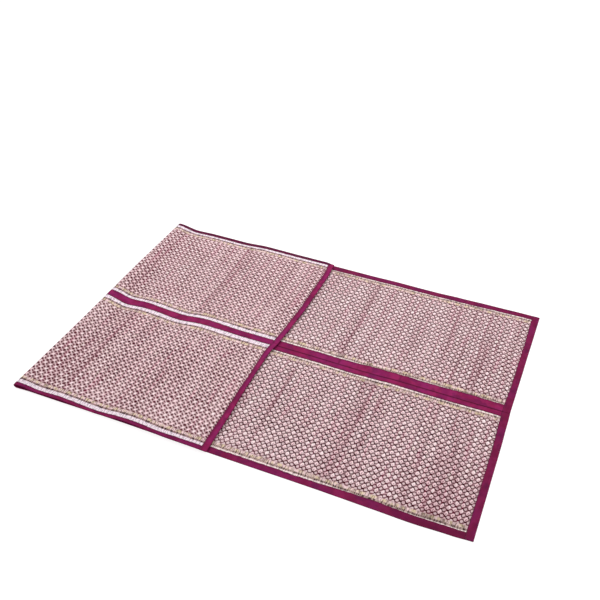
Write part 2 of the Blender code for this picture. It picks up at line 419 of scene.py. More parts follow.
# Sections of the end tapes, how far in their short ends are tucked and to what share of
# their thickness, and how much further out than a long tape they lie on the front and back
END_SECTIONS = 130
END_TUCK = 0.0016
THINNEST_TUCK = 0.05
OVER_FRONT = 1.16
OVER_BACK = 1.04

# How far the two faces of an end tape lie apart in its map of the cloth
END_FACES_APART = 0.03

# How far the tapes' widths wander
FRONT_WANDER = 0.0005
BACK_WANDER = 0.0004
JOINING_WANDER = 0.0006
END_WANDER = 0.0004

# A tape's sewn edge: distance in from it, and rise in thicknesses of the tape. Then how far
# in it carries painted shade, the rise of the tape's middle, and the radius of an inner tape's turn.
PRESSED_EDGE = ((0.0, -0.28), (0.0003, -0.06), (0.0010, 0.0), (0.0017, -0.22), (0.0024, 0.0))
FRONT_EDGE = PRESSED_EDGE + ((0.0060, 0.10),)
JOINING_EDGE = PRESSED_EDGE + ((0.0060, 0.08),)
EDGE_SHADE_WIDTH = 0.0026
MIDDLE_RISE = 0.12
TURNED_RADIUS = 0.0011

# Threads of the tape's weave
RIB_PITCH = 0.0009
THREAD_PITCH = 0.0007

# Swells of the tapes: their lengths and height, the depth at which a crease is deepest, and the
# depth at which its painted shade is darkest
PUCKER_LENGTHS = (0.030, 0.007)
FACE_SWELL = 0.00007
DEEPEST_CREASE = 0.0004
DARKEST_CREASE = 0.0003

# Stitches that hold the tapes
STITCH_PITCH = 0.0042
STITCH_LENGTH = 0.0031
STITCH_RADIUS = 0.00032
STITCH_INSET = 0.0017
LONG_STITCH_MARGIN = 0.003
END_STITCH_MARGIN = 0.004

# Rings of one stitch, as shares of its half length and of its radius
STITCH_RINGS = {
    "columns": ("along", "girth", "rise"),
    "rows": (
        (-1.0, 0.2, -0.9),
        (-0.6, 1.0, -0.2),
        (0.6, 1.0, -0.2),
        (1.0, 0.2, -0.9),
    ),
}

# Camera, solved from the photograph
CAMERA_PLACE = (0.6566, -1.7585, 1.5801)
CAMERA_ANGLES = (53.255, -2.514, 22.142)
CAMERA_LENS = 50.81
CAMERA_SENSOR = 36.0
CAMERA_SHIFT = 0.5 / 600

# Studio
LIGHTS = {
    "columns": ("name", "place", "target", "size", "power"),
    "rows": (
        ("key_light", (-0.62, 1.30, 2.1), (-0.15, 0.12, 0.0), 2.8, 52.0),
        ("fill_light", (1.7, 0.4, 1.7), (0.1, 0.1, 0.0), 2.4, 11.0),
    ),
}
FLOOR_HALF_SIZE = 12.0
FLOOR_GLOW = 0.88
SURROUND_STRENGTH = 0.55
WHITE = (1.0, 1.0, 1.0, 1.0)


def table_value(table, place, column):
    """Read one column of a table at many places, gliding between its rows."""
    rows = np.array(table["rows"], float)
    values = rows[:, table["columns"].index(column)]
    stops = rows[:, 0]
    place = np.clip(place, stops[0], stops[-1])
    low = np.clip(np.searchsorted(stops, place, side="right") - 1, 0, len(stops) - 2)
    share = (place - stops[low]) / (stops[low + 1] - stops[low])
    glide = share * share * (3 - 2 * share)
    return values[low] + (values[low + 1] - values[low]) * glide


def smooth_step(low, high, value):
    """Rise smoothly from 0 at low to 1 at high."""
    share = np.clip((value - low) / (high - low), 0.0, 1.0)
    return share * share * (3 - 2 * share)


def unevenness(x, y, seed, longest, shortest):
    """Slow random swells between about -1 and 1, made of waves in all directions."""
    chance = np.random.default_rng(seed)
    total = np.zeros(np.broadcast(x, y).shape)
    for _ in range(SWELL_WAVES):
        length = shortest * (longest / shortest) ** chance.random()
        heading = chance.random() * 2 * math.pi
        phase = chance.random() * 2 * math.pi
        total += np.cos(2 * math.pi * (x * math.cos(heading) + y * math.sin(heading)) / length + phase)
    return total / math.sqrt(SWELL_WAVES)


def wave_height(from_fold, side_place):
    """Height of the flap's waves, on a parabola from far edge through seam to near edge."""
    share = np.clip(0.5 - side_place / (2 * HALF_WIDTH), 0.0, 1.0)
    far = table_value(FLAP_WAVES, from_fold, "far edge")
    seam = table_value(FLAP_WAVES, from_fold, "seam")
    near = table_value(FLAP_WAVES, from_fold, "near edge")
    return (
        far * (1 - share) * (1 - 2 * share)
        + seam * 4 * share * (1 - share)
        + near * share * (2 * share - 1)
    )


def folded_path(along, side_place):
    """Place, height and front direction of the cloth's middle, and what share is flap."""
    fold = table_value(CROSS_EDGES, side_place, "fold")
    right_end = table_value(CROSS_EDGES, side_place, "right end")
    flap_end = table_value(CROSS_EDGES, side_place, "flap end")
    turn = fold + TURN_START

    lower_x = right_end + (turn - right_end) * along / LOWER_LENGTH

    half_rise = (FLAP_HEIGHT - LOWER_HEIGHT + wave_height(TURN_START, side_place)) / 2
    angle = np.clip(math.pi * (along - LOWER_LENGTH) / TURN_LENGTH, 0.0, math.pi)
    turn_x = turn - TURN_DEPTH * np.sin(angle)
    turn_z = LOWER_HEIGHT + half_rise * (1 - np.cos(angle))
    turn_front_x = half_rise * np.sin(angle)
    turn_front_z = TURN_DEPTH * np.cos(angle)

    share = np.clip((along - TURN_END) / FLAP_LENGTH, 0.0, 1.0)
    flap_x = turn + (flap_end - turn) * share
    level = TURN_START + FLAP_LENGTH * share
    step = 0.001
    rise = wave_height(level + step, side_place) - wave_height(level - step, side_place)
    flap_z = FLAP_HEIGHT + wave_height(level, side_place)

    on_lower = along <= LOWER_LENGTH
    on_turn = along <= TURN_END
    x = np.where(on_lower, lower_x, np.where(on_turn, turn_x, flap_x))
    z = np.where(on_lower, LOWER_HEIGHT, np.where(on_turn, turn_z, flap_z))
    front_x = np.where(on_lower, 0.0, np.where(on_turn, turn_front_x, rise / (2 * step)))
    front_z = np.where(on_lower, 1.0, np.where(on_turn, turn_front_z, -1.0))
    length = np.hypot(front_x, front_z)
    return x, z, front_x / length, front_z / length, angle >= math.pi / 2


def line_place(x, on_flap, column):
    """Sideways place of an edge or the seam, on the lower layer or on the flap."""
    return np.where(on_flap, table_value(FLAP_LINES, x, column), table_value(LOWER_LINES, x, column))


def strip_points(side, along, across, lift):
    """Bend points of the far (+1) or near (-1) strip."""
    outer_line = "far edge" if side > 0 else "near edge"
    x, z, front_x, front_z, on_flap = folded_path(along, side * (HALF_WIDTH - across))
    outer = line_place(x, on_flap, outer_line)
    inner = line_place(x, on_flap, "seam") + side * SEAM_GAP / 2
    y = outer + (inner - outer) * across / STRIP_WIDTH
    return settled(x + front_x * lift, y, z + front_z * lift)


def seam_points(along, across, lift):
    """Bend points of the piece along the seam, across it from the far to the near side."""
    x, z, front_x, front_z, on_flap = folded_path(along, -across)
    y = line_place(x, on_flap, "seam") - across
    return settled(x + front_x * lift, y, z + front_z * lift)


def settled(x, y, z):
    """Move places counted from the fold and the seam to where the solids stand."""
    far_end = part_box("right_end_tape_far")[1]
    height = np.maximum(z, 0.0)
    return np.stack([x + far_end.x - SOLID_RIGHT_END, y + far_end.y - SOLID_FAR_EDGE, height], -1)


class Shading:
    """Adds shader nodes to one material and links them."""

    def __init__(self, name):
        self.material = bpy.data.materials.new(name)
        self.material.use_nodes = True
        self.tree = self.material.node_tree
        self.shader = self.tree.nodes["Principled BSDF"]

    def feed(self, socket, value):
        """Link a socket to another one, or give it a value."""
        if isinstance(value, bpy.types.NodeSocket):
            self.tree.links.new(value, socket)
        else:
            socket.default_value = value

    def add(self, kind, *inputs, **settings):
        """Add one node with its settings and inputs."""
        node = self.tree.nodes.new(kind)
        for name, value in settings.items():
            setattr(node, name, value)
        for socket, value in zip(node.inputs, inputs):
            self.feed(socket, value)
        return node

    def math(self, operation, *inputs):
        """Work out one number."""
        return self.add("ShaderNodeMath", *inputs, operation=operation).outputs[0]

    def times(self, first, second):
        """Multiply two numbers."""
        return self.math("MULTIPLY", first, second)

    def most(self, *values):
        """The largest of several numbers."""
        result = values[0]
        for value in values[1:]:
            result = self.math("MAXIMUM", result, value)
        return result

    def vector(self, operation, *inputs):
        """Work out one vector, or one number from vectors."""
        node = self.add("ShaderNodeVectorMath", *inputs, operation=operation)
        return node.outputs["Value" if operation == "LENGTH" else "Vector"]

    def parts(self, place):
        """A place's first two coordinates."""
        return self.add("ShaderNodeSeparateXYZ", place).outputs[:2]

    def step(self, value, low, high, first=0.0, last=1.0):
        """Go smoothly from the first number at low to the last one at high."""
        inputs = (value, low, high, first, last)
        return self.add("ShaderNodeMapRange", *inputs, interpolation_type="SMOOTHSTEP").outputs[0]

    def scaled(self, value, low, high):
        """Spread a number from 0 to 1 over another range."""
        return self.add("ShaderNodeMapRange", value, 0.0, 1.0, low, high).outputs[0]

    def mix(self, share, low, high):
        """Mix two colours in the shader's own scale."""
        node = self.add("ShaderNodeMix", data_type="RGBA")
        for index, value in ((0, share), (6, low), (7, high)):
            self.feed(node.inputs[index], value)
        return node.outputs[2]

    def blend(self, share, low, high):
        """Mix two colours given as red, green and blue."""
        return self.mix(share, colour(*low), colour(*high))

    def tinted(self, base, *coats):
        """Lay coats over a colour: each has a share, how much of it counts, and a colour."""
        for share, amount, tint in coats:
            base = self.mix(self.times(share, amount), base, colour(*tint))
        return base

    def chance(self, place):
        """A random number from 0 to 1 for each whole place."""
        return self.add("ShaderNodeTexWhiteNoise", place, noise_dimensions="2D").outputs["Value"]

    def noise(self, place, scale, detail=2.0, dimensions="2D"):
        """Soft random blotches."""
        node = self.add("ShaderNodeTexNoise", noise_dimensions=dimensions)
        for name, value in (("Vector", place), ("Scale", scale), ("Detail", detail)):
            self.feed(node.inputs[name], value)
        return node.outputs[0]

    def blotches(self, cloth, kind):
        """One kind of coloured blotches in the flat cloth, from 0 to 1."""
        along, across, scale, detail, low, high = BLOTCHES["rows"][kind]
        place = self.vector("MULTIPLY", cloth, (along, across, 0.0))
        return self.step(self.noise(place, scale, detail), low, high)

    def map(self, name):
        """A mesh's own map of places."""
        return self.add("ShaderNodeUVMap", uv_map=name).outputs[0]

    def number(self, name):
        """A mesh's own number."""
        return self.add("ShaderNodeAttribute", attribute_name=name).outputs["Fac"]

    def object_place(self):
        """Places in the object's own space."""
        return self.add("ShaderNodeTexCoord").outputs["Object"]

    def finish(self, base, roughness, specular=0.5, bump=()):
        """Set the colour, roughness and shine, and the bump's height, strength and distance."""
        sockets = self.shader.inputs
        self.feed(sockets["Base Color"], base)
        self.feed(sockets["Roughness"], roughness)
        self.feed(sockets["Specular IOR Level"], specular)
        if bump:
            node = self.add("ShaderNodeBump")
            for name, value in zip(("Height", "Strength", "Distance"), bump):
                self.feed(node.inputs[name], value)
            self.feed(sockets["Normal"], node.outputs[0])
        return self.material


def colour(red, green, blue):
    """A colour as seen on a screen, from 0 to 255, in the shader's own scale."""
    shares = [value / 255 for value in (red, green, blue)]
    linear = [s / 12.92 if s <= 0.04045 else ((s + 0.055) / 1.055) ** 2.4 for s in shares]
    return (*linear, 1.0)


def repeat_cells(shading, repeats):
    """From each place in the repeat: where a point lies, in millimetres, and its number."""
    size = (REPEAT_LENGTH * 1000, REPEAT_WIDTH * 1000, 0.0)
    middle = tuple(-value / 2 for value in size)
    cells = []
    for along, across in REPEAT_PLACES:
        moved = shading.vector("ADD", repeats, (0.5 - along, 0.5 - across, 0.0))
        part = shading.vector("FRACTION", moved)
        cell = shading.vector("MULTIPLY_ADD", part, size, middle)
        cells.append((cell, shading.vector("FLOOR", moved)))
    return cells


def spot(shading, cell, kind, grow=None):
    """1 inside one of the repeat's ovals and 0 outside it, with a soft edge."""
    along, across, radius_along, radius_across, turn, soft = OVALS["rows"][kind]
    node = shading.add("ShaderNodeMapping", vector_type="TEXTURE")
    shading.feed(node.inputs["Vector"], cell)
    node.inputs["Location"].default_value = (along, across, 0.0)
    node.inputs["Rotation"].default_value = (0.0, 0.0, math.radians(turn))
    node.inputs["Scale"].default_value = (radius_along, radius_across, 1.0)
    reach = shading.vector("LENGTH", node.outputs[0])
    if grow is not None:
        reach = shading.times(reach, grow)
    return shading.step(reach, 1 + soft, 1 - soft)


def lens(shading, cell, half_width, half_height, lean, soft):
    """1 inside a leaning lens with pointed ends and 0 outside it, with a soft edge."""
    along, across = shading.parts(cell)
    leaned = shading.math("MULTIPLY_ADD", across, -lean, along)
    height = shading.math("POWER", shading.math("ABSOLUTE", across), 2.0)
    reach = shading.times(shading.math("ABSOLUTE", leaned), 1 / half_width)
    reach = shading.math("MULTIPLY_ADD", height, 1 / half_height**2, reach)
    return shading.step(reach, 1 + soft, 1 - soft)


def crossing_line(shading, place, side, left, right):
    """One of the two dark lines that arch over and under a small grain."""
    along, across = place
    turns = shading.times(along, 2 * math.pi / (REPEAT_LENGTH * 1000))
    rise = side * ARCH_HEIGHT
    arch = shading.math("MULTIPLY_ADD", shading.math("COSINE", turns), rise, rise)
    gap = shading.math("ABSOLUTE", shading.math("SUBTRACT", across, arch))
    strength = shading.step(along, -ARCH_REACH, ARCH_REACH, left, right)
    return shading.times(shading.step(gap, *ARCH_EDGES), strength)


def front_motif(shading, repeats):
    """How pale and how dark the front is: grains and links among dark crossings."""
    grains, smalls, links, knots = repeat_cells(shading, repeats)
    grain_cell, grain_number = grains
    small_cell, small_number = smalls
    grain_chance = shading.chance(grain_number)
    small_chance = shading.chance(small_number)
    grain = lens(shading, grain_cell, half_width=4.15, half_height=7.6, lean=-0.12, soft=0.12)
    small = lens(shading, small_cell, half_width=4.3, half_height=5.2, lean=-0.08, soft=0.22)
    link = spot(shading, links[0], "link")
    slit = shading.times(spot(shading, grain_cell, "slit"), shading.scaled(grain_chance, 0.1, 1.2))
    dot = shading.times(spot(shading, small_cell, "dot"), shading.scaled(small_chance, -0.1, 1.0))
    place = shading.parts(small_cell)
    dark = shading.most(
        crossing_line(shading, place, -1, 0.70, 1.0),
        crossing_line(shading, place, 1, 1.0, 0.70),
        spot(shading, knots[0], "knot"),
    )
    dark = shading.times(dark, shading.math("MULTIPLY_ADD", small, -0.68, 1.0))
    dark = shading.times(dark, shading.math("SUBTRACT", 1.0, grain))
    dark = shading.most(dark, shading.times(slit, 0.62), shading.times(dot, 0.45))
    tail = shading.step(shading.parts(grain_cell)[1], -1.0, 8.0)
    hollow = shading.math("MULTIPLY_ADD", tail, 0.35, slit)
    pale = shading.most(grain, shading.times(small, 0.76), shading.times(link, 0.35))
    pale = shading.math("MULTIPLY_ADD", hollow, -0.75, pale)
    return pale, dark, shading.times(grain, grain_chance)


def back_motif(shading, repeats):
    """How pale and how dark the back is: stars and slanted bands among dark dots."""
    big_dots, small_dots, bands, stars = repeat_cells(shading, repeats)
    big_size = shading.scaled(shading.chance(big_dots[1]), 0.86, 1.16)
    star = spot(shading, stars[0], "star")
    band = spot(shading, bands[0], "band")
    dark = shading.most(
        spot(shading, big_dots[0], "big dot", grow=big_size),
        shading.times(spot(shading, small_dots[0], "upper dot"), 0.95),
        shading.times(spot(shading, small_dots[0], "lower dot"), 0.95),
    )
    dark = shading.times(dark, shading.math("MULTIPLY_ADD", band, -0.8, 1.0))
    pale = shading.most(star, shading.times(band, 0.72))
    return pale, dark, shading.times(star, shading.chance(stars[1]))


def stem_profile(shading, repeats):
    """Round profile of the single stems, and a random number for each of them."""
    along = shading.times(shading.parts(repeats)[0], STEMS_PER_REPEAT)
    height = shading.math("SINE", shading.times(shading.math("FRACT", along), math.pi))
    place = shading.add("ShaderNodeCombineXYZ", shading.math("FLOOR", along), 0.0, 0.0).outputs[0]
    return height, shading.chance(place)


def uneven_repeats(shading, cloth, repeats, stem_chance):
    """Repeats that wander a little, with every stem slid along by its own amount."""
    sideways = shading.scaled(shading.noise(cloth, WANDER_SCALE), -0.12, 0.12)
    elsewhere = shading.vector("ADD", cloth, (3.0, 1.0, 0.0))
    lengthwise = shading.scaled(shading.noise(elsewhere, WANDER_SCALE), -0.10, 0.10)
    lengthwise = shading.math("MULTIPLY_ADD", stem_chance, 0.08, lengthwise)
    move = shading.add("ShaderNodeCombineXYZ", sideways, lengthwise, 0.0).outputs[0]
    return shading.vector("ADD", repeats, move)


def woven_material(name, face):
    """Grass stems woven on dark cotton, with straw and white borders."""
    shading = Shading(name)
    colours = FACE_COLOURS[face]
    cloth = shading.map("cloth")
    repeats = shading.map("repeats")
    if face == "front":
        repeats = shading.vector("MULTIPLY", repeats, (-1.0, 1.0, 0.0))
    stem, stem_chance = stem_profile(shading, repeats)
    repeats = uneven_repeats(shading, cloth, repeats, stem_chance)
    motif = front_motif if face == "front" else back_motif
    pale, dark, unit = motif(shading, repeats)
    tint = shading.blotches(cloth, "tint")
    rosy = shading.blotches(cloth, "rosy")
    green = shading.blotches(cloth, "green")
    # The streak number holds the stems' own streaks and the patches, with their painted shade and light
    streak = shading.number("streak")
    shade = shading.math("MAXIMUM", streak, 0.0)
    light = shading.math("MAXIMUM", shading.times(streak, -1.0), 0.0)

    ground = shading.tinted(
        shading.blend(tint, *colours["ground"]),
        (stem_chance, 0.25, (138, 96, 102)),
        (rosy, 0.36, (178, 92, 120)),
        (green, 0.4, (182, 170, 152)),
        (shade, 0.9, (124, 64, 78)),
        (light, 0.8, (232, 202, 204)),
    )
    grain = shading.tinted(
        shading.blend(unit, (255, 238, 240), (255, 226, 230)),
        (tint, 0.2, (232, 186, 192)),
        (stem_chance, 0.20, (206, 170, 168)),
        (rosy, 0.22, (232, 156, 178)),
        (green, 0.5, (224, 222, 206)),
        (shade, 0.7, (190, 124, 138)),
    )
    warp = shading.tinted(
        shading.blend(tint, *colours["warp"]),
        (rosy, 0.5, (112, 22, 56)),
        (light, 0.6, (130, 84, 92)),
    )
    field = shading.mix(dark, shading.mix(pale, ground, grain), warp)

    ticks = shading.blotches(cloth, "ticks")
    gold = shading.blend(shading.blotches(cloth, "gold"), (242, 210, 212), (226, 204, 172))
    straw = shading.tinted(gold, (ticks, 0.8, (112, 86, 76)))
    # Shade from streaks and patches darkens the borders too, painted shade where the light falls off at
    # the right end
    straw = shading.mix(shade, straw, colour(112, 92, 82))
    dark_line = shading.blend(ticks, *colours["dark line"])
    dark_line = shading.mix(shade, dark_line, colour(58, 44, 42))
    white = shading.blend(shading.times(ticks, 0.7), *colours["white"])

    uneven = shading.noise(cloth, BORDER_WANDER_SCALE)
    wander = shading.math("MULTIPLY_ADD", uneven, 2 * BORDER_WANDER, -BORDER_WANDER)
    inside = shading.math("ADD", shading.number("inside"), wander)
    band = DARK_LINE_WIDTH + STRAW_BAND_WIDTH
    soft = BORDER_SOFTNESS
    # Painted shadow in a furrow just inside the straw band
    furrow_shadow = shading.step(inside, band + 0.007, band + 0.002)
    field = shading.tinted(field, (furrow_shadow, 0.35, (120, 68, 78)))
    base = shading.mix(shading.step(inside, band - soft, band + 2 * soft), straw, field)
    line_end = shading.step(inside, DARK_LINE_WIDTH - soft, DARK_LINE_WIDTH + soft)
    base = shading.mix(line_end, dark_line, base)
    base = shading.mix(shading.step(inside, -soft, soft), white, base)
    # Painted shade in the grooves between the round stems
    base = shading.mix(shading.scaled(stem, 0.10, 0.0), base, colour(60, 34, 38))
    height = shading.math("MULTIPLY_ADD", stem, 0.30, shading.math("SUBTRACT", pale, dark))
    return shading.finish(base, shading.scaled(pale, 0.80, 0.58), 0.06, (height, 0.3, 0.0004))


def tape_material(name):
    """Dyed cotton tape with a fine rib and uneven dye, and painted shade at its edges and creases."""
    shading = Shading(name)
    cloth = shading.map("cloth")
    dye = shading.tinted(
        shading.blend(shading.blotches(cloth, "dye"), (127, 16, 70), (144, 28, 86)),
        (shading.blotches(cloth, "cool dye"), 0.35, (126, 22, 98)),
        (shading.blotches(cloth, "worn dye"), 0.25, (158, 30, 76)),
        (shading.blotches(cloth, "dark dye"), 0.45, (84, 12, 66)),
        # Painted shade: at sewn edges, folds, the seam and outline tapes away from the light, then in
        # creases and towards the right end
        (shading.number("edge"), 0.9, (62, 2, 32)),
        (shading.number("crease"), 0.7, (92, 8, 48)),
    )
    along, across = shading.parts(cloth)
    rib = shading.math("SINE", shading.times(across, 2 * math.pi / RIB_PITCH))
    thread = shading.math("SINE", shading.times(along, 2 * math.pi / THREAD_PITCH))
    weave = shading.scaled(shading.times(rib, thread), 0.5, 1.0)
    slub = shading.noise(shading.vector("MULTIPLY", cloth, (1.0, 4.0, 0.0)), 160.0)
    height = shading.math("MULTIPLY_ADD", slub, 1.2, weave)
    return shading.finish(dye, 0.78, 0.12, (height, 0.35, 0.00025))


def thread_material(name):
    """Sewing thread a little brighter than the tape."""
    shading = Shading(name)
    uneven = shading.noise(shading.object_place(), 90.0, dimensions="3D")
    return shading.finish(shading.blend(uneven, (112, 22, 64), (150, 44, 98)), 0.5)


def add_object(name, data, place=(0.0, 0.0, 0.0), turn=(0.0, 0.0, 0.0)):
    """Add an object to the scene, turned by the given radians."""
    item = bpy.data.objects.new(name, data)
    item.location = place
    item.rotation_euler = Euler(turn, "XYZ")
    bpy.context.scene.collection.objects.link(item)
    return item


def link_mesh(name, points, faces, materials):
    """Make a smooth-shaded object from points and faces."""
    mesh = bpy.data.meshes.new(name)
    mesh.from_pydata(points.tolist(), [], faces)
    mesh.shade_smooth()
    for material in materials:
        mesh.materials.append(material)
    return add_object(name, mesh)


def give_map(mesh, name, places):
    """Store a place in the flat cloth for each vertex as a map."""
    corners = np.zeros(len(mesh.loops), np.int32)
    mesh.loops.foreach_get("vertex_index", corners)
    layer = mesh.uv_layers.new(name=name)
    layer.data.foreach_set("uv", places[corners].astype(np.float32).ravel())


def give_number(mesh, name, values):
    """Store a number for each vertex."""
    attribute = mesh.attributes.new(name, "FLOAT", "POINT")
    attribute.data.foreach_set("value", values.astype(np.float32))


def dress(piece, solid):
    """Attach a piece to the root body and hide the solid it stands for."""
    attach(piece, "root")
    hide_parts(solid)


def bell(value, middle, half_width):
    """1 at the middle, falling off smoothly on both sides."""
    return np.exp(-(((value - middle) / half_width) ** 2))


def streak_strength(strip, x, across, on_flap, seed):
    """How much darker (above 0) or paler (below 0) the stems are at each place."""
    strength = 0.12 * unevenness(x, across * 0.12, seed, 0.050, 0.008)
    fade = 0.85 + 0.20 * unevenness(x, across, seed + 7, 0.5, 0.12)
    lean = 0.003 * unevenness(0 * x, across, seed + 9, 0.5, 0.15)
    for layer, shown in (("back", on_flap), ("front", ~on_flap)):
        for place, half_width, amount in STREAKS["rows"][strip, layer]:
            streak = amount * fade * bell(x, place + lean, half_width)
            strength = strength + np.where(shown, streak, 0.0)
        # Patches: painted shade towards the right end, painted light near the near edge, and the cloth's
        # own tone
        for place, middle, half_length, half_width, amount in PATCHES["rows"][strip, layer]:
            reach = ((x - place) / half_length) ** 2 + ((across - middle) / half_width) ** 2
            strength = strength + np.where(shown, amount * np.exp(-reach), 0.0)
    return strength


def oval(x, y, middle, radii):
    """Height of a low mound, 1 in its middle and 0 from its rim outwards."""
    reach = ((x - middle[0]) / radii[0]) ** 2 + ((y - middle[1]) / radii[1]) ** 2
    return np.sqrt(np.clip(1 - reach, 0.0, 1.0))


def in_cell(value, move, size):
    """Place in the nearest repeat, in millimetres from its middle."""
    return ((value + 0.5 - move) % 1.0 - 0.5) * size * 1000


def relief(repeat_along, repeat_across, inside):
    """Raised floats of the motif, the same on both faces, fading out at the borders."""
    mounds = 0.0
    for share, height, middle, radii in MOUNDS["rows"]:
        x = in_cell(-repeat_along, share, REPEAT_LENGTH)
        y = in_cell(repeat_across, share, REPEAT_WIDTH)
        mounds = np.maximum(mounds, height * oval(x, y, middle, radii))
    return RELIEF_HEIGHT * mounds * smooth_step(*RELIEF_FADE, inside)


def panel_rows():
    """Rows of the panel in repeats from the right end, and which of them are fine."""
    first = PANEL_INSET / REPEAT_LENGTH
    last = (CLOTH_LENGTH - PANEL_INSET) / REPEAT_LENGTH
    spans = (
        (first, FRONT_SHOWN_UNTIL / REPEAT_LENGTH, ROWS_PER_REPEAT, "front"),
        (FRONT_SHOWN_UNTIL / REPEAT_LENGTH, TURN_SHOWN_FROM / REPEAT_LENGTH, 1, "hidden"),
        (TURN_SHOWN_FROM / REPEAT_LENGTH, FLAP_SHOWN_FROM / REPEAT_LENGTH, TURN_ROWS_PER_REPEAT, "back"),
        (FLAP_SHOWN_FROM / REPEAT_LENGTH, last, ROWS_PER_REPEAT, "back"),
    )
    rows = []
    for low, high, density, shown in spans:
        steps = np.arange(math.ceil(low * density + 1e-6), math.floor(high * density - 1e-6) + 1)
        rows += [(step / density, shown) for step in steps]
    return [(first, "front")] + rows + [(last, "back")]


def edge_fade(value, length, fade):
    """1 inside a length, going down to 0 at both its ends."""
    return smooth_step(0.0, fade, value) * smooth_step(0.0, fade, length - value)


def panel_surface(side, rows, face, lift_sign):
    """One face of a panel, row by row, with few columns where it is hidden."""
    fine = np.linspace(0.0, REPEATS_ACROSS, REPEATS_ACROSS * COLUMNS_PER_REPEAT + 1)
    coarse = np.linspace(0.0, REPEATS_ACROSS, COARSE_COLUMNS + 1)
    columns = [fine if shown == face else coarse for _, shown in rows]
    repeat_along = np.concatenate([np.full(len(line), row[0]) for line, row in zip(columns, rows)])
    repeat_across = np.concatenate(columns)
    strip_across = repeat_across if side > 0 else REPEATS_ACROSS - repeat_across

    seed = 31 if side > 0 else 32
    flat_along = repeat_along * REPEAT_LENGTH
    flat_across = PANEL_INSET + strip_across * REPEAT_WIDTH
    slack = SLACK_ALONG * edge_fade(flat_along, CLOTH_LENGTH, END_FADE)
    along = flat_along + slack * unevenness(flat_along * 0.35, flat_across, seed, 0.45, 0.09)
    slack = SLACK_ACROSS * edge_fade(flat_across, STRIP_WIDTH, SIDE_FADE)
    across = flat_across + slack * unevenness(flat_along, flat_across, seed + 2, 0.5, 0.10)

    strip = "far" if side > 0 else "near"
    outer, inner = SELVAGES["rows"][strip, face]
    inside = np.minimum(across - outer, STRIP_WIDTH - inner - across)
    lift = lift_sign * (HALF_PANEL + relief(repeat_along, repeat_across, inside))
    x, _, _, _, on_flap = folded_path(along, side * (HALF_WIDTH - across))
    return {
        "sizes": [len(line) for line in columns],
        "points": strip_points(side, along, across, lift),
        "cloth": np.stack([along, across], -1),
        "repeats": np.stack([repeat_along, repeat_across], -1),
        "streak": streak_strength(strip, x, across, on_flap, seed + 4),
        "inside": inside,
    }


def joined_rows(upper, lower):
    """Faces between two rows of vertex numbers, one of which may be finer."""
    fine, coarse = (upper, lower) if len(upper) >= len(lower) else (lower, upper)
    ratio = (len(fine) - 1) // (len(coarse) - 1)
    faces = []
    for step in range(len(coarse) - 1):
        run = list(fine[step * ratio : (step + 1) * ratio + 1])
        face = run + [coarse[step + 1], coarse[step]]
        faces.append(face if fine is upper else face[::-1])
    return faces


def woven_panel(name, side, looks):
    """One strip's woven sheet, closed, fine and in relief where it shows."""
    rows = panel_rows()
    both = (panel_surface(side, rows, "front", 1), panel_surface(side, rows, "back", -1))
    sheet = {key: np.concatenate([surface[key] for surface in both]) for key in both[0]}
    starts = [0] + np.cumsum(sheet["sizes"]).tolist()
    numbers = [range(low, high) for low, high in zip(starts, starts[1:])]
    front, back = numbers[: len(rows)], numbers[len(rows) :]

    front_faces = [face for pair in zip(front, front[1:]) for face in joined_rows(*pair)]
    back_faces = [face[::-1] for pair in zip(back, back[1:]) for face in joined_rows(*pair)]
    rim = []
    for a, b, c, d in zip(front, front[1:], back, back[1:]):
        rim.append([a[0], b[0], d[0], c[0]])
        rim.append([a[-1], c[-1], d[-1], b[-1]])
    rim += joined_rows(back[0], front[0]) + joined_rows(front[-1], back[-1])

    faces = front_faces + back_faces + rim
    piece = link_mesh("cloth_" + name, sheet["points"], faces, looks["woven"])
    slots = np.zeros(len(faces), np.int32)
    slots[len(front_faces) : len(front_faces) + len(back_faces)] = 1
    piece.data.polygons.foreach_set("material_index", slots)
    offset = np.array([0.0 if side > 0 else NEAR_STRIP_REPEATS, 0.0])
    give_map(piece.data, "cloth", sheet["cloth"])
    give_map(piece.data, "repeats", sheet["repeats"] + offset)
    give_number(piece.data, "streak", sheet["streak"])
    give_number(piece.data, "inside", sheet["inside"])
    dress(piece, name)


def long_stations():
    """Places along the mat where the long tapes have a section."""
    lower = np.linspace(LONG_TAPE_START, LOWER_LENGTH, LOWER_SECTIONS)
    turn = np.linspace(LOWER_LENGTH, TURN_END, TURN_SECTIONS)[1:]
    flap = np.linspace(TURN_END, LONG_TAPE_END, FLAP_SECTIONS)[1:]
    return np.concatenate([lower, turn, flap])


def tube_faces(rings, around):
    """Faces of a tube through rings with equal numbers of points, capped at both ends."""
    faces = []
    for ring in range(rings - 1):
        for step in range(around):
            a = ring * around + step
            b = ring * around + (step + 1) % around
            faces.append((a, b, b + around, a + around))
    faces.append(tuple(range(around))[::-1])
    faces.append(tuple(range((rings - 1) * around, rings * around)))
    return faces


def swept(name, sections, materials, cloth, edge, crease):
    """A closed mesh through sections with equal numbers of points, capped at both ends."""
    faces = tube_faces(*sections.shape[:2])
    piece = link_mesh("cloth_" + name, sections.reshape(-1, 3), faces, materials)
    turn_outward(piece)
    give_map(piece.data, "cloth", cloth.reshape(-1, 2))
    give_number(piece.data, "edge", edge.reshape(-1))
    give_number(piece.data, "crease", crease.reshape(-1))
    return piece


def turn_outward(piece):
    """Turn a closed mesh right side out if it is inside out."""
    mesh = piece.data
    mesh.calc_loop_triangles()
    corners = np.zeros(len(mesh.loop_triangles) * 3, np.int32)
    mesh.loop_triangles.foreach_get("vertices", corners)
    points = np.zeros(len(mesh.vertices) * 3)
    mesh.vertices.foreach_get("co", points)
    a, b, c = points.reshape(-1, 3)[corners.reshape(-1, 3)].transpose(1, 0, 2)
    if (a * np.cross(b, c)).sum() < 0:
        mesh.flip_normals()


